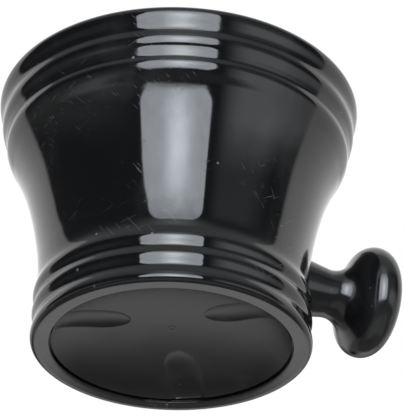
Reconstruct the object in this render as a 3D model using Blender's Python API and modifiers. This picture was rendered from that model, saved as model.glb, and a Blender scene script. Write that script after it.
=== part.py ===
"""Shaving mug: a flared, double-walled mug with three ribs at the rim and three at the foot,
a recessed base disc and a round knob handle screwed to the side.

Frame: metres, +Z up, origin on the table under the middle of the whole outline.
The knob points along +X. All dimensions below are in millimetres until mm() converts them.
"""
import math

import bpy

# --- driving dimensions, millimetres -------------------------------------------------------
RIM_R = 55.0            # widest radius, at the lip's outer bulge
HEIGHT = 83.3           # table to the top of the lip
LIP_ROUND = 2.5         # rounding radius of the lip
FOOT_ROUND = 1.6        # rounding radius under the foot
SHELL_WALL = 2.4        # shell thickness above the foot
FOOT_BORE_R = 37.9      # inside radius of the foot, which holds the base disc
FOOT_BORE_TOP = 26.0    # the foot's straight bore ends here
FOOT_OPENING_R = 35.4   # opening in the foot ring, where the base disc shows
LEDGE_Z = 1.8           # top of the foot ring, where the base disc rests
CLEARANCE = 0.3         # gap between touching pieces

# outside of the shell, top to bottom: height, radius, lean of the wall in degrees
# (a positive lean faces up, a negative one faces down)
OUTLINE = [
    (80.8, 55.00, 0), (78.0, 54.25, -25), (75.3, 53.50, 0), (74.2, 53.60, 8),
    (73.0, 53.70, 0), (70.7, 53.00, -29), (68.6, 52.10, -17), (67.3, 51.75, 0),
    (66.5, 51.82, 8), (65.6, 51.88, 0), (63.3, 51.10, -26), (61.9, 50.35, -29),
    (59.9, 49.25, -26), (56.2, 47.50, -24), (51.7, 45.70, -20), (46.6, 44.10, -16),
    (41.4, 42.75, -13.5), (32.0, 40.90, -9), (25.8, 40.15, -4), (19.6, 39.95, 2),
    (16.7, 40.40, 18), (14.5, 40.90, 0), (12.8, 40.50, -22), (11.5, 40.18, 0),
    (10.2, 40.55, 21), (8.75, 40.93, 0), (6.9, 40.48, -22), (5.4, 40.12, 0),
    (3.7, 40.60, 21), (1.6, 41.00, 0),
]
STEPS_PER_SPAN = 1      # straight facets between two outline heights

# outside of the bowl's wall, top to bottom
BOWL_OUTLINE = [(81.3, 50.0), (70.0, 47.6), (58.0, 43.2), (46.0, 38.0), (36.0, 33.4), (27.0, 30.4)]
BOWL_WALL = 2.2
BOWL_FLOOR_Z = 9.6      # underside of the bowl
BOWL_CORNER = 12.0      # rounding radius between wall and floor
FLANGE_R = 52.0         # edge of the bowl's flange
FLANGE_Z = 81.3         # underside of the flange

DISC_TOP_Z = 9.1
DISC_EDGE = 0.4
RECESS_Z = 6.9          # top of the dished underside, at the mug's axis
RECESS_R = 34.9         # edge of the dish, a lip that fits inside the foot ring's opening
RECESS_EDGE_Z = 1.2
RECESS_TURN_DOWN = 1.3  # the part of the dish's fall that is close to its edge
RECESS_TURN_POWER = 10
RECESS_STEPS = 7        # rings of the dish, closer together near its edge
# three shallow radial hollows in the recessed underside, one opposite the knob
HOLLOW_BEARINGS = (180.0, 60.0, -60.0)
HOLLOW_MIDDLE_R = 23.5
HOLLOW_LENGTH = 17.0
HOLLOW_WIDTH = 10.0
HOLLOW_DEPTH = 0.7
HOLLOW_BALL = 2.5       # half height of the rounded tool that shapes a hollow

KNOB_Z = 30.0           # height of the handle's axis
NECK_ROOT_R = 8.9       # neck radius at the wall
NECK_END_X = 48.6       # where the neck ends, from the mug's axis
NECK_END_R = 7.5
NECK_FILLET = 7.7       # concave rounding from the neck into the knob
KNOB_BACK_LEAN = 60.0   # the knob's back face, degrees from its axis
KNOB_BACK_RUN = 3.6     # straight part of the back face
KNOB_RIM_ROUND = 5.66
KNOB_FRONT_LEAN = 75.6  # where the rim's rounding meets the domed front
NECK_START_X = 36.0     # the neck's blank starts inside the shell, then the seat trims it
NECK_TAPER_X = 41.0     # the taper starts here

SCREW_R = 1.85
SCREW_HOLE_R = 2.15
SCREW_TIP_X = 54.0
SCREW_BORE_END_X = 56.0
SCREW_HEAD_R = 3.8
SCREW_HEAD_H = 2.4
BOSS_R = 6.0
BOSS_FACE_X = 37.2

CUP_STEPS = 48          # sides of the turned mug pieces
KNOB_STEPS = 28
SCREW_STEPS = 16
ARC_STEP = 15.0         # degrees turned by one facet of a rounded corner

BLACK = (0.012, 0.012, 0.013)
STEEL = (0.62, 0.62, 0.60)


def mm(value):
    return value / 1000.0


def outer_radius(z):
    """Radius of the shell's outside at a height: a cubic through the outline's radii and leans."""
    for (z1, r1, a1), (z0, r0, a0) in zip(OUTLINE, OUTLINE[1:]):
        if z >= z0:
            break
    span = z1 - z0
    t = (z - z0) / span
    m0 = -math.tan(math.radians(a0)) * span
    m1 = -math.tan(math.radians(a1)) * span
    return ((2 * t**3 - 3 * t**2 + 1) * r0 + (t**3 - 2 * t**2 + t) * m0
            + (3 * t**2 - 2 * t**3) * r1 + (t**3 - t**2) * m1)


def outline_heights(top, bottom):
    """Heights of the outline's facets between two levels, from the top down."""
    heights = []
    for (z1, _, _), (z0, _, _) in zip(OUTLINE, OUTLINE[1:]):
        heights += [z1 + (z0 - z1) * i / STEPS_PER_SPAN for i in range(STEPS_PER_SPAN)]
    heights.append(OUTLINE[-1][0])
    inside = [z for z in heights if bottom < z < top]
    return [top] + inside + [bottom]


def arc(centre_r, centre_z, radius, start, end):
    """Points on an arc, degrees measured from +R towards +Z."""
    count = max(2, math.ceil(abs(end - start) / ARC_STEP))
    angles = [math.radians(start + (end - start) * i / count) for i in range(count + 1)]
    return [(centre_r + radius * math.cos(a), centre_z + radius * math.sin(a)) for a in angles]


def mug_x():
    """X of the mug's axis, which centres the outline of mug and knob on the origin."""
    return (RIM_R - knob_profile()[0][1]) / 2


def make_material(name, colour, roughness, metallic):
    material = bpy.data.materials.new(name)
    material.use_nodes = True
    shader = material.node_tree.nodes["Principled BSDF"]
    shader.inputs["Base Color"].default_value = (*colour, 1.0)
    shader.inputs["Roughness"].default_value = roughness
    shader.inputs["Metallic"].default_value = metallic
    return material


def turned(name, profile, steps, collection, closed=False):
    """Turn a (radius, height) profile about Z with a Screw modifier."""
    mesh = bpy.data.meshes.new(name)
    count = len(profile)
    edges = [(i, i + 1) for i in range(count - 1)] + ([(count - 1, 0)] if closed else [])
    mesh.from_pydata([(mm(r), 0, mm(z)) for r, z in profile], edges, [])
    piece = bpy.data.objects.new(name, mesh)
    collection.objects.link(piece)
    screw = piece.modifiers.new("turn", "SCREW")
    screw.axis = "Z"
    screw.steps = screw.render_steps = steps
    screw.use_merge_vertices = True
    screw.merge_threshold = 0.00001
    screw.use_smooth_shade = True
    return piece


def finish(piece, colour, roughness, metallic=0.0):
    piece.data.materials.append(make_material(piece.name, colour, roughness, metallic))
    return piece


def boolean(piece, tool, operation="DIFFERENCE"):
    cut = piece.modifiers.new(operation.lower() + "_" + tool.name, "BOOLEAN")
    cut.operation = operation
    cut.solver = "EXACT"
    cut.object = tool
    tool.hide_render = True
    tool.display_type = "WIRE"


def x_cylinder(name, radius, x_from, x_to, sides, cutters):
    """A cylinder lying along X on the handle's axis."""
    bpy.ops.mesh.primitive_cylinder_add(
        vertices=sides, radius=mm(radius), depth=mm(x_to - x_from),
        location=(mm(mug_x() + (x_from + x_to) / 2), 0, mm(KNOB_Z)), rotation=(0, math.pi / 2, 0))
    tool = bpy.context.object
    tool.name = name
    for owner in tool.users_collection:
        owner.objects.unlink(tool)
    cutters.objects.link(tool)
    return tool


def shell_inner_radius(z):
    """The shell's inside follows the outside with its ribs smoothed away."""
    above = sum(outer_radius(min(z + dz, 80.0)) for dz in (-3.0, 0.0, 3.0)) / 3
    return max(above - SHELL_WALL - 0.3, FOOT_BORE_R)


def shell_profile():
    top_z = HEIGHT - LIP_ROUND
    rebate_r = FLANGE_R + CLEARANCE
    outside = arc(RIM_R - LIP_ROUND, top_z, LIP_ROUND, 90, 0)[:-1]
    outside += [(outer_radius(z), z) for z in outline_heights(top_z, FOOT_ROUND)]
    foot = arc(OUTLINE[-1][1] - FOOT_ROUND, FOOT_ROUND, FOOT_ROUND, 0, -90)[1:]
    foot += arc(FOOT_OPENING_R + 0.8, 0.8, 0.8, -90, -180)
    ledge = [(FOOT_OPENING_R, LEDGE_Z), (FOOT_BORE_R, LEDGE_Z), (FOOT_BORE_R, FOOT_BORE_TOP)]
    inside = [(shell_inner_radius(z), z) for z in (34.0, 42.0, 50.0, 58.0, 64.0, 70.0, 76.0)]
    rebate = [(50.7, FLANGE_Z - CLEARANCE), (rebate_r, FLANGE_Z - CLEARANCE), (rebate_r, HEIGHT - 0.02)]
    return outside + foot + ledge + inside + rebate


def bowl_profile():
    """From the middle of the floor up the inside, over the lip and down the outside."""
    lip_r = FLANGE_R - LIP_ROUND
    wall_r, wall_z = BOWL_OUTLINE[-1]
    corner_r = wall_r - BOWL_CORNER
    outside = [(r, z) for z, r in BOWL_OUTLINE]
    flange = [(FLANGE_R, HEIGHT - 0.35), (FLANGE_R, FLANGE_Z)]
    corner = arc(corner_r, BOWL_FLOOR_Z + BOWL_CORNER, BOWL_CORNER, 0, -90)
    inner_corner = arc(corner_r, BOWL_FLOOR_Z + BOWL_CORNER, BOWL_CORNER - BOWL_WALL, -90, 0)
    inside = [(r - BOWL_WALL, z) for z, r in reversed(BOWL_OUTLINE)][:-1]
    lip = arc(lip_r + 0.35, HEIGHT - LIP_ROUND, LIP_ROUND, 180, 90)
    return ([(0, BOWL_FLOOR_Z + BOWL_WALL)] + inner_corner + inside + lip
            + flange + outside + corner + [(0, BOWL_FLOOR_Z)])


def dish_z(r):
    """Height of the dished underside: a parabola that turns down more steeply near its edge."""
    t = r / RECESS_R
    fall = RECESS_Z - RECESS_EDGE_Z - RECESS_TURN_DOWN
    return RECESS_Z - fall * t ** 2 - RECESS_TURN_DOWN * t ** RECESS_TURN_POWER


def disc_profile():
    """A disc that is flat on top and dished underneath, with a flat rim that sits on the ledge."""
    radius = FOOT_BORE_R - CLEARANCE
    low = LEDGE_Z + CLEARANCE
    dish_radii = [RECESS_R * (1 - (i / RECESS_STEPS) ** 1.5) for i in range(RECESS_STEPS + 1)]
    return [(0, DISC_TOP_Z), (radius - DISC_EDGE, DISC_TOP_Z), (radius, DISC_TOP_Z - DISC_EDGE),
            (radius, low), (RECESS_R, low)] + [(r, dish_z(r)) for r in dish_radii]


def walk_arc(point, heading, new_heading, radius):
    """Arc from a point and heading to a new heading, both in degrees from the handle's axis."""
    side = 1 if new_heading > heading else -1
    x, r = point
    cx = x - side * radius * math.sin(math.radians(heading))
    cr = r + side * radius * math.cos(math.radians(heading))
    count = max(2, math.ceil(abs(new_heading - heading) / ARC_STEP))
    turns = [math.radians(heading + (new_heading - heading) * i / count) for i in range(count + 1)]
    return [(cx + side * radius * math.sin(h), cr - side * radius * math.cos(h)) for h in turns]


def knob_profile():
    """The handle's outside from the front of the knob back to the neck: (radius, x)."""
    taper = -math.degrees(math.atan2(NECK_ROOT_R - NECK_END_R, NECK_END_X - NECK_TAPER_X))
    line = [(NECK_START_X, NECK_ROOT_R), (NECK_TAPER_X, NECK_ROOT_R)]
    line += walk_arc((NECK_END_X, NECK_END_R), taper, KNOB_BACK_LEAN, NECK_FILLET)
    lean = math.radians(KNOB_BACK_LEAN)
    x, r = line[-1]
    rim_start = (x + KNOB_BACK_RUN * math.cos(lean), r + KNOB_BACK_RUN * math.sin(lean))
    line += walk_arc(rim_start, KNOB_BACK_LEAN, 0, KNOB_RIM_ROUND)
    line += walk_arc(line[-1], 0, -KNOB_FRONT_LEAN, KNOB_RIM_ROUND)[1:]
    dome = line[-1][1] / math.cos(math.radians(KNOB_FRONT_LEAN))
    line += walk_arc(line[-1], -KNOB_FRONT_LEAN, -90, dome)[1:]
    line[-1] = (line[-1][0], 0.0)
    return [(r, x) for x, r in reversed(line)]


def lay_along_x(piece):
    """Stand a turned piece's local Z along world X, on the handle's axis."""
    piece.location = (mm(mug_x()), 0, mm(KNOB_Z))
    piece.rotation_euler = (0, math.pi / 2, 0)


def make_shell(parts, cutters):
    shell = turned("mug_shell", shell_profile(), CUP_STEPS, parts, closed=True)
    shell.location.x = mm(mug_x())
    boss = x_cylinder("boss", BOSS_R, BOSS_FACE_X, 39.6, 24, cutters)
    hole = x_cylinder("screw_hole", SCREW_HOLE_R, 30.0, 46.0, SCREW_STEPS, cutters)
    boolean(shell, boss, "UNION")
    boolean(shell, hole)
    return finish(shell, BLACK, 0.08)


def make_bowl(parts):
    bowl = turned("inner_bowl", bowl_profile(), CUP_STEPS, parts)
    bowl.location.x = mm(mug_x())
    return finish(bowl, BLACK, 0.10)


def make_disc(parts, cutters):
    disc = turned("base_disc", disc_profile(), CUP_STEPS, parts)
    disc.location.x = mm(mug_x())
    spread = math.sqrt(1 - (1 - HOLLOW_DEPTH / HOLLOW_BALL) ** 2)
    dish_slope = math.atan(dish_z(HOLLOW_MIDDLE_R - 0.5) - dish_z(HOLLOW_MIDDLE_R + 0.5))
    for i, bearing in enumerate(HOLLOW_BEARINGS):
        angle = math.radians(bearing)
        bpy.ops.mesh.primitive_uv_sphere_add(segments=20, ring_count=12, radius=1.0)
        tool = bpy.context.object
        tool.name = "hollow_%d" % (i + 1)
        tool.location = (mm(mug_x() + HOLLOW_MIDDLE_R * math.cos(angle)),
                         mm(HOLLOW_MIDDLE_R * math.sin(angle)),
                         mm(dish_z(HOLLOW_MIDDLE_R) + HOLLOW_DEPTH - HOLLOW_BALL))
        tool.scale = (mm(HOLLOW_LENGTH / 2 / spread), mm(HOLLOW_WIDTH / 2 / spread), mm(HOLLOW_BALL))
        tool.rotation_euler = (0, dish_slope, angle)
        for owner in tool.users_collection:
            owner.objects.unlink(tool)
        cutters.objects.link(tool)
        boolean(disc, tool)
    return finish(disc, BLACK, 0.16)


def make_knob(parts, cutters):
    profile = knob_profile() + [(SCREW_HOLE_R, NECK_START_X), (SCREW_HOLE_R, SCREW_BORE_END_X),
                                (0, SCREW_BORE_END_X)]
    knob = turned("knob_handle", profile, KNOB_STEPS, parts)
    lay_along_x(knob)
    seat = [(0, 56.2)] + [(outer_radius(z) + CLEARANCE, z) for z in outline_heights(56.2, 10.2)]
    seat_tool = turned("wall_seat", seat + [(0, 10.2)], CUP_STEPS, cutters)
    seat_tool.location.x = mm(mug_x())
    boolean(knob, seat_tool)
    return finish(knob, BLACK, 0.08)


def make_screw(parts):
    """Pan-head screw from inside the wall into the neck."""
    under_head = BOSS_FACE_X - CLEARANCE
    profile = [(0, SCREW_TIP_X), (0.6, SCREW_TIP_X), (SCREW_R, SCREW_TIP_X - 2.5), (SCREW_R, under_head),
               (SCREW_HEAD_R, under_head), (SCREW_HEAD_R, under_head - 1.2),
               (SCREW_HEAD_R - 1.2, under_head - SCREW_HEAD_H), (0, under_head - SCREW_HEAD_H)]
    screw = turned("knob_screw", profile, SCREW_STEPS, parts)
    lay_along_x(screw)
    return finish(screw, STEEL, 0.35, 1.0)


def main():
    for item in list(bpy.data.objects):
        bpy.data.objects.remove(item, do_unlink=True)
    parts = bpy.data.collections.new("shaving_mug")
    cutters = bpy.data.collections.new("cutters")
    bpy.context.scene.collection.children.link(parts)
    bpy.context.scene.collection.children.link(cutters)
    make_shell(parts, cutters)
    make_bowl(parts)
    make_disc(parts, cutters)
    make_knob(parts, cutters)
    make_screw(parts)


main()
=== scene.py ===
"""Shaving mug in gloss black plastic: the smooth finished surfaces, the studio and the camera.

The mug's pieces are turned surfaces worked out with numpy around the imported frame. Lengths in
this file are millimetres from the mug's axis until they reach a mesh, which is in metres.
"""
import math

import bmesh
import bpy
import numpy as np
from mathutils import Matrix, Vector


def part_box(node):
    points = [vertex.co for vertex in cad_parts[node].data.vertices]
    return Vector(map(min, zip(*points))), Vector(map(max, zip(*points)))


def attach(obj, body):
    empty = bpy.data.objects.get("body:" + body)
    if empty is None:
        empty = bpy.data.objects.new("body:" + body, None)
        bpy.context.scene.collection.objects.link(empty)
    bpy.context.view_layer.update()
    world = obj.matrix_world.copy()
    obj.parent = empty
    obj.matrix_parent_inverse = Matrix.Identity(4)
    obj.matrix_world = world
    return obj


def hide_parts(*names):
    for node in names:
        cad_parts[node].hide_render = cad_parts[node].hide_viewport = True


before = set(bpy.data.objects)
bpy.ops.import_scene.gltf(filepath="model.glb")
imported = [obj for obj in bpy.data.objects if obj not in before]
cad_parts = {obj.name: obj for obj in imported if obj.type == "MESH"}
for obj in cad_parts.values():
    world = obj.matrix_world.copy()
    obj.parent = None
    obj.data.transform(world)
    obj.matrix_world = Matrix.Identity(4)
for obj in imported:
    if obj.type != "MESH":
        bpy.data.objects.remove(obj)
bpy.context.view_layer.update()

SHELL_LOW, SHELL_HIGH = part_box("mug_shell")
AXIS_X = (SHELL_LOW[0] + SHELL_HIGH[0]) / 2      # the mug's axis stands here, in metres
RIM_R = (SHELL_HIGH[0] - SHELL_LOW[0]) / 2 * 1000
HEIGHT = SHELL_HIGH[2] * 1000
KNOB_LOW, KNOB_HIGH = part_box("knob_handle")
KNOB_Z = (KNOB_LOW[2] + KNOB_HIGH[2]) / 2 * 1000

AROUND = 384            # columns round a turned piece
HANDLE_COLUMNS = 192    # columns round the handle
FIT_GAP = 0.15          # clearance between two pieces that fit together
SMALL_EDGE = 0.12       # rounding of the small edges at the lip

# --- outline of the shell, top to bottom: height, radius, lean of the wall in degrees ------
OUTLINE = np.array([
    (80.8, 55.00, 0), (78.0, 54.25, -25), (75.3, 53.50, 0), (74.2, 53.60, 8),
    (73.0, 53.70, 0), (70.7, 53.00, -29), (68.6, 52.10, -17), (67.3, 51.75, 0),
    (66.5, 51.82, 8), (65.6, 51.88, 0), (63.3, 51.10, -26), (61.9, 50.35, -29),
    (59.9, 49.25, -26), (56.2, 47.50, -24), (51.7, 45.70, -20), (46.6, 44.10, -16),
    (41.4, 42.75, -13.5), (32.0, 40.90, -9), (25.8, 40.15, -4), (19.6, 39.95, 2),
    (16.7, 40.40, 18), (14.5, 40.90, 0), (12.8, 40.50, -22), (11.5, 40.18, 0),
    (10.2, 40.55, 21), (8.75, 40.93, 0), (6.9, 40.48, -22), (5.4, 40.12, 0),
    (3.7, 40.60, 21), (1.6, 41.00, 0)])
LIP_ROUND = 2.5
FOOT_ROUND = 1.6
SHELL_WALL = 2.7
SHELL_INSIDE_LOW, SHELL_INSIDE_HIGH = 28.0, 76.0
SHELL_BORE_TOP = 27.0   # the bore above the ledge is straight up to here
SHELL_NECK_R = 50.7     # the inside's radius just under the rebate
FLANGE_R = 52.0
FLANGE_Z = 81.3
FOOT_BORE_R = 37.9
FOOT_OPENING_R = 35.4
LEDGE_Z = 1.8
BOWL_WALL = 2.2
BOWL_FLOOR_Z = 9.6
BOWL_CORNER = 12.0
BOWL_OUTLINE = [(81.3, 50.0), (70.0, 47.6), (58.0, 43.2), (46.0, 38.0), (36.0, 33.4), (27.0, 30.4)]
DISC_TOP_Z = 9.1
DISC_CHAMFER = 0.4
RECESS_Z = 6.9
RECESS_R = 34.9
RECESS_EDGE_Z = 1.2
RECESS_TURN_DOWN = 1.3
RECESS_TURN_POWER = 10
EDGE_ROUND = 0.25       # rounding of the foot ring's inner edge
RING_RISE = 0.25        # the foot ring's face leans up by this much towards the mug's axis
SCREW_BORE_R = 2.15
SCREW_BORE_MOUTH_X, SCREW_BORE_END_X = 48.0, 56.0
NECK_ROOT_R = 8.9
NECK_ROOT_GAP = 0.3     # the neck's rim starts this far off the wall
NECK_TAPER_X = 41.0
NECK_END_X = 48.6
NECK_END_R = 7.5
NECK_FILLET = 7.7
KNOB_BACK_LEAN = 60.0
KNOB_BACK_RUN = 3.6
KNOB_RIM_ROUND = 5.66
KNOB_FRONT_LEAN = 75.6
HOLLOW_BEARINGS = (180.0, 60.0, -60.0)
HOLLOW_MIDDLE_R = 21.5
HOLLOW_TIP = 8.6
HOLLOW_WIDTH = 10.4
HOLLOW_DEPTH = 0.9
HOLLOW_POWER = 0.65     # below 1 a hollow has a crisp edge
GATE_R, GATE_WIDTH, GATE_HEIGHT = 1.0, 0.25, 0.05


def outer_radius(z):
    """Radius at heights z: on each span of the outline, the cubic through both radii with both leans."""
    z = np.asarray(z, float)
    i = np.clip(np.searchsorted(-OUTLINE[:, 0], -z, side="right") - 1, 0, len(OUTLINE) - 2)
    z1, r1, lean1 = OUTLINE[i].T
    z0, r0, lean0 = OUTLINE[i + 1].T
    span = z1 - z0
    t = (z - z0) / span
    m0, m1 = -np.tan(np.radians(lean0)) * span, -np.tan(np.radians(lean1)) * span
    return ((2 * t**3 - 3 * t**2 + 1) * r0 + (t**3 - 2 * t**2 + t) * m0
            + (3 * t**2 - 2 * t**3) * r1 + (t**3 - t**2) * m1)


def line(a, b, count):
    """count points from a up to, not including, b: a plus an even share of b - a."""
    t = np.arange(count)[:, None] / count
    return np.array(a) + (np.array(b) - np.array(a)) * t


def arc(centre_r, centre_z, radius, start, end, count):
    """count points on a circle from the start angle up to, not including, the end angle, in degrees."""
    a = np.radians(start + (end - start) * np.arange(count) / count)
    return np.stack([centre_r + radius * np.cos(a), centre_z + radius * np.sin(a)], -1)


def smooth_wall(points, count):
    """A smooth curve through (height, radius) points: a natural cubic in height, (radius, height) rows."""
    z, r = np.array(points[::-1]).T
    h = np.diff(z)
    size = len(z)
    system = np.eye(size)
    right = np.zeros(size)
    for k in range(1, size - 1):
        system[k, k - 1:k + 2] = h[k - 1], 2 * (h[k - 1] + h[k]), h[k]
        right[k] = 6 * ((r[k + 1] - r[k]) / h[k] - (r[k] - r[k - 1]) / h[k - 1])
    bend = np.linalg.solve(system, right)
    at = np.linspace(z[0], z[-1], count)
    k = np.clip(np.searchsorted(z, at, side="right") - 1, 0, size - 2)
    left, rest, width = at - z[k], z[k + 1] - at, h[k]
    radius = (bend[k] * rest**3 + bend[k + 1] * left**3) / (6 * width) \
        + (r[k] / width - bend[k] * width / 6) * rest + (r[k + 1] / width - bend[k + 1] * width / 6) * left
    return np.stack([radius, at], -1)


def grid_faces(rows, columns, wrap_rows):
    """Quads of a grid whose columns close on themselves, and whose rows do too if wrap_rows."""
    i = np.arange(rows if wrap_rows else rows - 1)[:, None]
    j = np.arange(columns)[None, :]
    ni, nj = (i + 1) % rows, (j + 1) % columns
    quads = np.stack([i * columns + j, ni * columns + j, ni * columns + nj, i * columns + nj], -1)
    return quads.reshape(-1, 4)


def finished_piece(name, points, faces, body="root", sharp=35.0):
    """A mesh object from metre points and quads: doubled pole points are welded, faces turned out."""
    mesh = bpy.data.meshes.new(name)
    mesh.from_pydata(points, [], faces)
    work = bmesh.new()
    work.from_mesh(mesh)
    bmesh.ops.remove_doubles(work, verts=work.verts, dist=1e-7)
    bmesh.ops.recalc_face_normals(work, faces=work.faces)
    work.to_mesh(mesh)
    work.free()
    mesh.shade_smooth()
    mesh.set_sharp_from_angle(angle=math.radians(sharp))
    piece = bpy.data.objects.new(name, mesh)
    bpy.context.scene.collection.objects.link(piece)
    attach(piece, body)
    return piece


def turned_points(profile, columns=AROUND):
    """Point (i, j) is profile row i turned by j steps about the mug's axis: (r cos a, r sin a, z)."""
    a = 2 * np.pi * np.arange(columns) / columns
    r, z = profile[:, :1], profile[:, 1:]
    x, y = r * np.cos(a), r * np.sin(a)
    return np.stack([AXIS_X * 1000 + x, y, np.broadcast_to(z, x.shape)], -1) / 1000


def turned_piece(name, profile, closed):
    """A piece turned from a profile, which is a loop if closed and else runs from axis to axis."""
    points = turned_points(profile)
    faces = grid_faces(len(profile), AROUND, closed)
    return finished_piece(name, points.reshape(-1, 3), faces)


def shell_profile():
    """Section of the shell as a loop: round lip, ribbed outside, round foot, ledge, inside, rebate."""
    lip_z = HEIGHT - LIP_ROUND
    rebate_r = FLANGE_R + FIT_GAP
    rebate_z = FLANGE_Z - FIT_GAP
    spans = [np.linspace(a, b, 7)[:-1] for a, b in zip(OUTLINE[:-1, 0], OUTLINE[1:, 0])]
    z = np.concatenate(spans)
    outside = np.stack([outer_radius(z), z], -1)
    foot_z, foot_r = FOOT_ROUND, OUTLINE[-1, 1] - FOOT_ROUND
    inside_z = np.linspace(SHELL_INSIDE_LOW, SHELL_INSIDE_HIGH, 26)
    averaged = sum(outer_radius(inside_z + step) for step in (-3.0, 0.0, 3.0)) / 3
    inside = np.stack([np.maximum(averaged - SHELL_WALL, FOOT_BORE_R), inside_z], -1)
    return np.concatenate([
        arc(RIM_R - LIP_ROUND, lip_z, LIP_ROUND, 90, 0, 14), outside,
        arc(foot_r, foot_z, FOOT_ROUND, 0, -90, 14),
        line((foot_r, 0), (FOOT_OPENING_R + EDGE_ROUND, RING_RISE), 4),
        arc(FOOT_OPENING_R + EDGE_ROUND, RING_RISE + EDGE_ROUND, EDGE_ROUND, -90, -180, 6),
        line((FOOT_OPENING_R, RING_RISE + EDGE_ROUND), (FOOT_OPENING_R, LEDGE_Z), 2),
        line((FOOT_OPENING_R, LEDGE_Z), (FOOT_BORE_R, LEDGE_Z), 2),
        line((FOOT_BORE_R, LEDGE_Z), (FOOT_BORE_R, SHELL_BORE_TOP), 3), inside,
        line((SHELL_NECK_R, rebate_z), (rebate_r, rebate_z), 3),
        line((rebate_r, rebate_z), (rebate_r, HEIGHT - SMALL_EDGE), 4),
        arc(rebate_r + SMALL_EDGE, HEIGHT - SMALL_EDGE, SMALL_EDGE, 180, 90, 3)])


def bowl_profile():
    """Section of the bowl: floor, inner wall, round lip, flange, outer wall, underside."""
    wall = smooth_wall(BOWL_OUTLINE, 60)
    corner_r, corner_z = BOWL_OUTLINE[-1][1] - BOWL_CORNER, BOWL_FLOOR_Z + BOWL_CORNER
    floor_z = BOWL_FLOOR_Z + BOWL_WALL
    lip_r = FLANGE_R - LIP_ROUND + 0.35
    return np.concatenate([
        line((0, floor_z), (corner_r, floor_z), 16),
        arc(corner_r, corner_z, BOWL_CORNER - BOWL_WALL, -90, 0, 20),
        wall[:-3] - (BOWL_WALL, 0),
        arc(lip_r, HEIGHT - LIP_ROUND, LIP_ROUND, 180, 90, 16),
        line((lip_r, HEIGHT), (FLANGE_R - SMALL_EDGE, HEIGHT), 3),
        arc(FLANGE_R - SMALL_EDGE, HEIGHT - SMALL_EDGE, SMALL_EDGE, 90, 0, 3),
        line((FLANGE_R, HEIGHT - SMALL_EDGE), (FLANGE_R, FLANGE_Z), 3),
        line((FLANGE_R, FLANGE_Z), (wall[-1, 0], FLANGE_Z), 2),
        wall[::-1],
        arc(corner_r, corner_z, BOWL_CORNER, 0, -90, 20),
        line((corner_r, BOWL_FLOOR_Z), (0, BOWL_FLOOR_Z), 10), [(0, BOWL_FLOOR_Z)]])


def underside_z(x, y):
    """Height of the base's underside: a shallow dish, three radial hollows and the gate's ring.

    The dish is a parabola in the distance r from the axis, less a tenth power that turns its edge
    down. A hollow is depth * (1 - q^2)^power inside q < 1, where q is the distance from its middle
    line over its half width; its inner end is half an ellipse. The gate is a small ring that hangs
    down by height * exp(-((r - ring radius) / width)^2).
    """
    r = np.hypot(x, y)
    t = r / RECESS_R
    fall = RECESS_Z - RECESS_EDGE_Z - RECESS_TURN_DOWN
    height = RECESS_Z - fall * t**2 - RECESS_TURN_DOWN * t**RECESS_TURN_POWER
    height = height - GATE_HEIGHT * np.exp(-((r - GATE_R) / GATE_WIDTH) ** 2)
    for bearing in HOLLOW_BEARINGS:
        c, s = math.cos(math.radians(bearing)), math.sin(math.radians(bearing))
        along, across = x * c + y * s - HOLLOW_MIDDLE_R, y * c - x * s
        q = np.hypot(np.minimum(along, 0) / HOLLOW_TIP, across / (HOLLOW_WIDTH / 2))
        q = np.where(along < -HOLLOW_MIDDLE_R, 1, q)
        height = height + HOLLOW_DEPTH * np.clip(1 - q**2, 0, 1) ** HOLLOW_POWER
    return height


def make_base():
    """Flat-topped disc whose underside is the surface underside_z, from the ledge to the axis."""
    outer_r = FOOT_BORE_R - FIT_GAP
    low = LEDGE_Z + FIT_GAP
    floor = line((RECESS_R - 0.1, RECESS_EDGE_Z), (0, RECESS_EDGE_Z), 220)
    profile = np.concatenate([
        line((0, DISC_TOP_Z), (outer_r - DISC_CHAMFER, DISC_TOP_Z), 8),
        line((outer_r - DISC_CHAMFER, DISC_TOP_Z), (outer_r, DISC_TOP_Z - DISC_CHAMFER), 2),
        line((outer_r, DISC_TOP_Z - DISC_CHAMFER), (outer_r, low), 4),
        line((outer_r, low), (RECESS_R, low), 5),
        line((RECESS_R, low), (RECESS_R, RECESS_EDGE_Z + 0.1), 3), floor, [(0, RECESS_EDGE_Z)]])
    points = turned_points(profile)
    x, y = points[..., 0] * 1000 - AXIS_X * 1000, points[..., 1] * 1000
    under = (np.arange(len(profile)) >= len(profile) - len(floor) - 1)[:, None]
    points[..., 2] = np.where(under, underside_z(x, y) / 1000, points[..., 2])
    return finished_piece("base_underside", points.reshape(-1, 3), grid_faces(len(profile), AROUND, False))


def walk_arc(point, heading, new_heading, radius, count):
    """Points turning from one heading to another, degrees from the handle's axis, on a circle."""
    side = 1 if new_heading > heading else -1
    h0 = math.radians(heading)
    h = np.radians(np.linspace(heading, new_heading, count))
    cx, cr = point[0] - side * radius * math.sin(h0), point[1] + side * radius * math.cos(h0)
    return np.stack([cx + side * radius * np.sin(h), cr - side * radius * np.cos(h)], -1)


def handle_profile():
    """(along the handle, radius) from the neck's fillet round the knob's rim to the middle of its front."""
    taper = -math.degrees(math.atan2(NECK_ROOT_R - NECK_END_R, NECK_END_X - NECK_TAPER_X))
    fillet = walk_arc((NECK_END_X, NECK_END_R), taper, KNOB_BACK_LEAN, NECK_FILLET, 30)
    lean = math.radians(KNOB_BACK_LEAN)
    rim_start = fillet[-1] + KNOB_BACK_RUN * np.array([math.cos(lean), math.sin(lean)])
    back = line(fillet[-1], rim_start, 8)[1:]
    rim = walk_arc(rim_start, KNOB_BACK_LEAN, -KNOB_FRONT_LEAN, KNOB_RIM_ROUND, 60)
    dome_r = rim[-1, 1] / math.cos(math.radians(KNOB_FRONT_LEAN))
    dome = walk_arc(rim[-1], -KNOB_FRONT_LEAN, -90.0, dome_r, 24)[1:]
    return np.concatenate([fillet, back, rim, dome])


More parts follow.
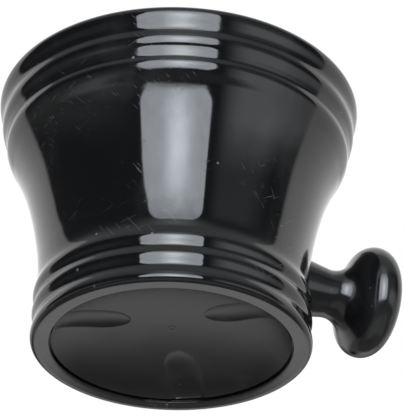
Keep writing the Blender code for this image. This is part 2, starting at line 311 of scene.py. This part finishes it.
def make_handle():
    """Neck and knob: circles along the handle's axis; the neck's end is bent onto the mug's wall.

    At angle a and radius q the wall is at x = sqrt((wall radius at that height + gap)^2 - y^2).
    """
    a = 2 * np.pi * np.arange(HANDLE_COLUMNS) / HANDLE_COLUMNS

    def wall_x(radius, gap):
        y, z = radius * np.cos(a), KNOB_Z + radius * np.sin(a)
        return np.sqrt((outer_radius(z) + gap) ** 2 - y**2)

    def ring(x, radius):
        x = np.broadcast_to(x, a.shape)
        return np.stack([x, radius * np.cos(a), KNOB_Z + radius * np.sin(a)], -1)

    root = wall_x(NECK_ROOT_R, NECK_ROOT_GAP)
    rows = [ring(SCREW_BORE_END_X, 0.0), ring(SCREW_BORE_END_X, SCREW_BORE_R),
            ring(SCREW_BORE_MOUTH_X, SCREW_BORE_R)]
    rows += [ring(wall_x(r, FIT_GAP), r) for r in (SCREW_BORE_R, 4.0, 6.0, 7.6, 8.5)]
    rows += [ring(wall_x(8.78, 0.17), 8.78), ring(root, NECK_ROOT_R)]
    for t in np.linspace(0.04, 1, 26)[:-1]:
        radius = NECK_ROOT_R + (NECK_END_R - NECK_ROOT_R) * t
        rows.append(ring(root * (1 - t) + NECK_END_X * t, radius))
    rows += [ring(x, max(r, 0.0)) for x, r in handle_profile()]
    points = np.stack(rows)
    points[-1, :, 1], points[-1, :, 2] = 0.0, KNOB_Z
    points[..., 0] += AXIS_X * 1000
    faces = grid_faces(len(rows), HANDLE_COLUMNS, False)
    return finished_piece("knob_and_neck", points.reshape(-1, 3) / 1000, faces)


# --- finishes ------------------------------------------------------------------------------
class Value:
    """What a node gives out; sums, products and powers on it add Math nodes."""

    def __init__(self, recipe, socket):
        self.recipe, self.socket = recipe, socket

    def math(self, operation, *others):
        return self.recipe.node("ShaderNodeMath", {"operation": operation},
                                dict(enumerate((self,) + others)))

    def swapped(self, operation, other):
        return self.recipe.node("ShaderNodeMath", {"operation": operation}, {0: other, 1: self})

    def __add__(self, other): return self.math("ADD", other)
    def __radd__(self, other): return self.math("ADD", other)
    def __sub__(self, other): return self.math("SUBTRACT", other)
    def __rsub__(self, other): return self.swapped("SUBTRACT", other)
    def __mul__(self, other): return self.math("MULTIPLY", other)
    def __rmul__(self, other): return self.math("MULTIPLY", other)
    def __truediv__(self, other): return self.math("DIVIDE", other)
    def __pow__(self, other): return self.math("POWER", other)
    def __neg__(self): return self.math("MULTIPLY", -1.0)
    def __abs__(self): return self.math("ABSOLUTE")


class Recipe:
    """The nodes of one material or of the studio's surroundings."""

    def __init__(self, tree):
        self.tree = tree
        tree.nodes.clear()

    def node(self, kind, settings=None, sockets=None, out=0):
        """Add a node with its settings and its sockets' values or links; gives its output number out."""
        made = self.tree.nodes.new(kind)
        for name, value in (settings or {}).items():
            setattr(made, name, value)
        for name, value in (sockets or {}).items():
            target = made.inputs[name]
            if isinstance(value, Value):
                self.tree.links.new(value.socket, target)
            else:
                target.default_value = value
        return Value(self, made.outputs[out]) if made.outputs else None

    def smooth(self, value, low, high):
        """0 below low, 1 above high, eased between."""
        return self.node("ShaderNodeMapRange", {"interpolation_type": "SMOOTHSTEP"},
                         {"Value": value, "From Min": low, "From Max": high})

    def noise(self, place, scale, detail=3.0):
        """Soft blotches, about 1 / scale metres across."""
        return self.node("ShaderNodeTexNoise", {}, {"Vector": place, "Scale": scale, "Detail": detail})


WALL_MEAN_R = 0.045         # metres
SCRATCHES_ALONG, SCRATCHES_ACROSS = 110.0, 4200.0       # noise cells per metre
SPECK_CELLS = 170.0                                     # places for a speck per metre


def black_plastic(name, roughness, smear, marks):
    """Gloss black moulding: wipe marks in the gloss, hairline scratches, and specks of dust."""
    material = bpy.data.materials.new(name)
    material.use_nodes = True
    mix = Recipe(material.node_tree)
    place = mix.node("ShaderNodeTexCoord", out=3)
    wiped = mix.node("ShaderNodeMapping", {}, {"Vector": place, "Scale": (1.0, 1.0, 0.35)})
    cloud = mix.noise(wiped, 55.0, 4.0)
    fine = mix.noise(place, 900.0, 2.0)

    # the wall unrolled: metres round it at its mean radius, height, and distance from the axis
    x, y, up = (mix.node("ShaderNodeSeparateXYZ", {}, {"Vector": place}, out=k) for k in range(3))
    around, beyond = x.math("ARCTAN2", -y) * WALL_MEAN_R, (x ** 2.0 + y ** 2.0) ** 0.5

    def scratches(turn, seed):
        """Short straight lines at an angle of turn radians on the unrolled wall, in a few patches."""
        c, s = math.cos(turn), math.sin(turn)
        along, across = around * c + up * s, up * c - around * s
        laid = mix.node("ShaderNodeCombineXYZ", {}, {
            "X": along * SCRATCHES_ALONG, "Y": across * SCRATCHES_ACROSS, "Z": beyond * 960.0 + seed})
        return mix.smooth(mix.noise(laid, 1.0, 0.0), 0.76, 0.82) * \
            mix.smooth(mix.noise(place, 38.0 + seed, 1.0), 0.52, 0.64)

    hairline = scratches(0.5, 1.0).math("MAXIMUM", scratches(-0.9, 3.0)) * marks
    cell, lot = (mix.node("ShaderNodeTexVoronoi", {}, {"Vector": place, "Scale": SPECK_CELLS}, out=k)
                 for k in range(2))
    speck = (1 - mix.smooth(cell, 0.05, 0.09)) * mix.smooth(lot, 0.62, 0.66) * marks
    tone = mix.node("ShaderNodeMix", {"data_type": "RGBA"}, {
        0: hairline * 0.22 + speck * 0.45 + mix.smooth(cloud, 0.5, 0.75) * 0.06,
        6: (0.0026, 0.0027, 0.0030, 1), 7: (0.16, 0.16, 0.155, 1)}, out=2)
    gloss = mix.smooth(cloud, 0.40, 0.72) * smear + hairline * 0.22 + speck * 0.4 + roughness
    ripple = mix.node("ShaderNodeBump", {}, {"Strength": 0.03, "Distance": 0.0002,
                                             "Height": fine * 0.25 + cloud * 2.0 - hairline})
    shader = mix.node("ShaderNodeBsdfPrincipled", {}, {
        "Base Color": tone, "Roughness": gloss, "Normal": ripple, "IOR": 1.5})
    mix.node("ShaderNodeOutputMaterial", {}, {"Surface": shader})
    return material


def zinc_steel():
    """Zinc plated steel: grey with a fine crystalline mottle."""
    material = bpy.data.materials.new("zinc_plated_steel")
    material.use_nodes = True
    mix = Recipe(material.node_tree)
    place = mix.node("ShaderNodeTexCoord", out=3)
    grain = mix.noise(place, 700.0, 3.0)
    tone = mix.node("ShaderNodeMix", {"data_type": "RGBA"}, {
        0: grain, 6: (0.50, 0.50, 0.48, 1), 7: (0.70, 0.70, 0.69, 1)}, out=2)
    shader = mix.node("ShaderNodeBsdfPrincipled", {}, {
        "Base Color": tone, "Metallic": 1.0, "Roughness": grain * 0.2 + 0.25})
    mix.node("ShaderNodeOutputMaterial", {}, {"Surface": shader})
    return material


def pale_floor():
    """Matt near-white floor with faint blotches."""
    material = bpy.data.materials.new("pale_floor")
    material.use_nodes = True
    mix = Recipe(material.node_tree)
    place = mix.node("ShaderNodeTexCoord", out=3)
    tone = mix.node("ShaderNodeMix", {"data_type": "RGBA"}, {
        0: mix.noise(place, 2.0), 6: (0.86, 0.86, 0.86, 1), 7: (0.90, 0.90, 0.90, 1)}, out=2)
    shader = mix.node("ShaderNodeBsdfPrincipled", {}, {
        "Base Color": tone, "Roughness": 0.9, "Emission Color": (1, 1, 1, 1), "Emission Strength": 0.25})
    mix.node("ShaderNodeOutputMaterial", {}, {"Surface": shader})
    return material


# --- camera --------------------------------------------------------------------------------
KNOB_TURN = 20.6            # degrees the knob points away from the camera's right
CAMERA_REACH = 0.5500       # level distance from the mug's axis, metres
CAMERA_Z = -0.28966         # the camera is below the foot and looks up
CAMERA_YAW, CAMERA_PITCH, CAMERA_ROLL = 0.0144, 0.5507, 0.0256      # radians
CAMERA_LENS = 185.06
FLOOR_Z = -0.52             # the stage floor, metres, below the camera


def make_camera():
    """The camera, turned about the mug's axis so that the knob points to the right and away."""
    yaw, pitch, roll = CAMERA_YAW, CAMERA_PITCH, CAMERA_ROLL
    forward = np.array([math.sin(yaw) * math.cos(pitch), math.cos(yaw) * math.cos(pitch), math.sin(pitch)])
    right = np.array([math.cos(yaw), -math.sin(yaw), 0.0])
    up = np.cross(right, forward)
    tilted_right = math.cos(roll) * right + math.sin(roll) * up
    tilted_up = -math.sin(roll) * right + math.cos(roll) * up
    turn = math.radians(-KNOB_TURN)
    spin = np.array([[math.cos(turn), -math.sin(turn), 0], [math.sin(turn), math.cos(turn), 0], [0, 0, 1]])
    place = spin @ np.array([0, -CAMERA_REACH, CAMERA_Z]) + (AXIS_X, 0, 0)
    axes = spin @ np.stack([tilted_right, tilted_up, -forward], -1)
    data = bpy.data.cameras.new("camera")
    data.lens, data.sensor_width, data.clip_start, data.clip_end = CAMERA_LENS, 36.0, 0.01, 100.0
    camera = bpy.data.objects.new("camera", data)
    matrix = np.eye(4)
    matrix[:3, :3], matrix[:3, 3] = axes, place
    camera.matrix_world = Matrix(matrix.tolist())
    bpy.context.scene.collection.objects.link(camera)
    bpy.context.scene.camera = camera


# --- studio --------------------------------------------------------------------------------
def make_studio():
    """The room round the mug, as brightness by bearing and height from the front of the studio.

    A softbox hangs in front, brightest down its middle; the front of the room is dim, the
    ceiling is grey, and white walls start at each side and close behind the mug.
    """
    world = bpy.data.worlds.new("studio")
    bpy.context.scene.world = world
    world.use_nodes = True
    room = Recipe(world.node_tree)
    direction = room.node("ShaderNodeTexCoord", out=0)
    x, y, z = (room.node("ShaderNodeSeparateXYZ", {}, {0: direction}, out=k) for k in range(3))
    turn = math.radians(KNOB_TURN)
    ahead = x * -math.sin(turn) + y * -math.cos(turn)
    side = x * math.cos(turn) + y * -math.sin(turn)
    bearing = side.math("ARCTAN2", ahead) * (180 / math.pi)
    height = z.math("ARCSINE") * (180 / math.pi)

    # softbox: a rectangle with round corners, 48 by 51 degrees, brightest down its middle and uneven
    skew = room.smooth(-bearing, 0.0, 10.0) * room.smooth(height, 8.0, 28.0) * 4.0
    round_off = room.smooth(height, 6.0, 26.0) * 3.0 + 7.0
    corner = ((abs(bearing + 2.0 - skew) + round_off - 24.0).math("MAXIMUM", 0.0) ** 2.0
              + (abs(height - 8.7) + round_off - 25.3).math("MAXIMUM", 0.0) ** 2.0) ** 0.5
    box = 1 - room.smooth(corner - round_off, -0.4, 0.4)
    upper, lower = (height - 6.0).math("MAXIMUM", 0.0), (6.0 - height).math("MAXIMUM", 0.0)
    middle = (-((bearing / 8.5) ** 2.0 + (upper / 14.0) ** 2.0 + (lower / 24.0) ** 2.0)).math("EXPONENT")
    folds = room.noise(direction, 11.0, 3.0) * 0.36 + 0.82
    softbox = box * folds * (middle * 7.0 + 6.2 - room.smooth(height, 18.0, 36.0) * 2.6)

    # above it: light spilt on the ceiling
    spill = (-((bearing / 20.0) ** 2.0)).math("EXPONENT") * room.smooth(height, 30.0, 36.0) * \
        (1 - room.smooth(height, 38.0, 60.0)) * 1.2
    ceiling = room.smooth(height, 28.0, 50.0) * 0.50

    # the front half of the room, dim, with a paler panel and low light at each side
    panel = room.smooth(bearing, 24.0, 36.0) * (1 - room.smooth(bearing, 55.0, 80.0)) * \
        (1 - room.smooth(height, 26.0, 34.0)) * 0.30
    right_low = room.smooth(bearing, 25.0, 45.0) * (1 - room.smooth(height, -4.0, 14.0)) * \
        (1.15 - room.smooth(bearing, 60.0, 90.0) * 0.5)
    left_low = room.smooth(-bearing, 18.0, 60.0) * ((1 - room.smooth(height, -20.0, -8.0)) * 0.85
                                                    + (1 - room.smooth(height, -8.0, 10.0)) * 0.2)
    front = panel + right_low + left_low + ceiling * 0.9 + 0.075

    # the white walls from each side to the back, with a grey band behind the mug and at each side
    left_edge = room.smooth(height, 16.0, 34.0) * -9.0 + 106.0
    white = room.smooth(bearing, 92.5, 96.5) + room.smooth(-bearing - left_edge, 4.0, 8.5)
    far_back = room.smooth(abs(bearing), 140.0, 165.0) * (1 - room.smooth(height, 14.0, 24.0)) * \
        (room.smooth(height, -27.0, -8.0) * 0.65 + room.smooth(height, -2.0, 8.0) * 0.35)
    left_back = (room.smooth(-bearing, 95.0, 110.0) - room.smooth(-bearing, 158.0, 176.0)) * \
        (1 - room.smooth(height, -12.0, 2.0)) * 0.65
    right_back = (room.smooth(bearing, 95.0, 110.0) - room.smooth(bearing, 150.0, 165.0)) * \
        (1 - room.smooth(height, -12.0, 2.0)) * 0.35
    back = 1.08 - far_back - left_back - right_back
    walls = front * (1 - white) + back * white

    # below: a dark bench, whose edge lies lower towards the back and which is paler straight down
    bench_edge = white * 11.5 + 20.0
    over_bench = room.smooth(height + bench_edge, -2.6, 2.6)
    low_glow = (1 - room.smooth(abs(bearing), 95.0, 135.0)) * (1 - room.smooth(height, -62.0, -42.0)) * 0.35
    brightness = walls * over_bench + (1 - over_bench) * (low_glow + 0.22) + softbox + spill

    # seen directly the surroundings are plain white; the softbox and the dim side are cool
    seen = room.node("ShaderNodeLightPath", out=0)
    strength = brightness * (1 - seen) + seen
    cool = (box * 0.75 + 0.25) * (1 - seen) * (1 - white)
    tint = room.node("ShaderNodeMix", {"data_type": "RGBA"}, {
        0: cool, 6: (1.0, 1.0, 1.0, 1), 7: (0.93, 0.99, 1.06, 1)}, out=2)
    ground = room.node("ShaderNodeBackground", {}, {"Color": tint, "Strength": strength})
    room.node("ShaderNodeOutputWorld", {}, {"Surface": ground})

    bpy.ops.mesh.primitive_plane_add(size=12.0, location=(0, 0, FLOOR_Z))
    floor = bpy.context.object
    floor.name = "floor"
    floor.data.materials.append(pale_floor())
    floor.visible_glossy = False


def dress(piece, material, node):
    """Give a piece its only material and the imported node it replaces."""
    piece.data.materials.clear()
    piece.data.materials.append(material)
    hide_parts(node)


def main():
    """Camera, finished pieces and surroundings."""
    make_camera()
    dress(turned_piece("ribbed_shell", shell_profile(), True),
          black_plastic("gloss_black_shell", 0.045, 0.06, 1.0), "mug_shell")
    dress(turned_piece("lather_bowl", bowl_profile(), False),
          black_plastic("gloss_black_bowl", 0.07, 0.05, 0.6), "inner_bowl")
    dress(make_base(), black_plastic("satin_black_base", 0.33, 0.02, 0.4), "base_disc")
    dress(make_handle(), black_plastic("gloss_black_knob", 0.14, 0.05, 0.4), "knob_handle")
    steel = zinc_steel()
    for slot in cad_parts["knob_screw"].material_slots:
        slot.material = steel
    make_studio()
    bpy.context.scene.view_settings.view_transform = "Standard"


main()
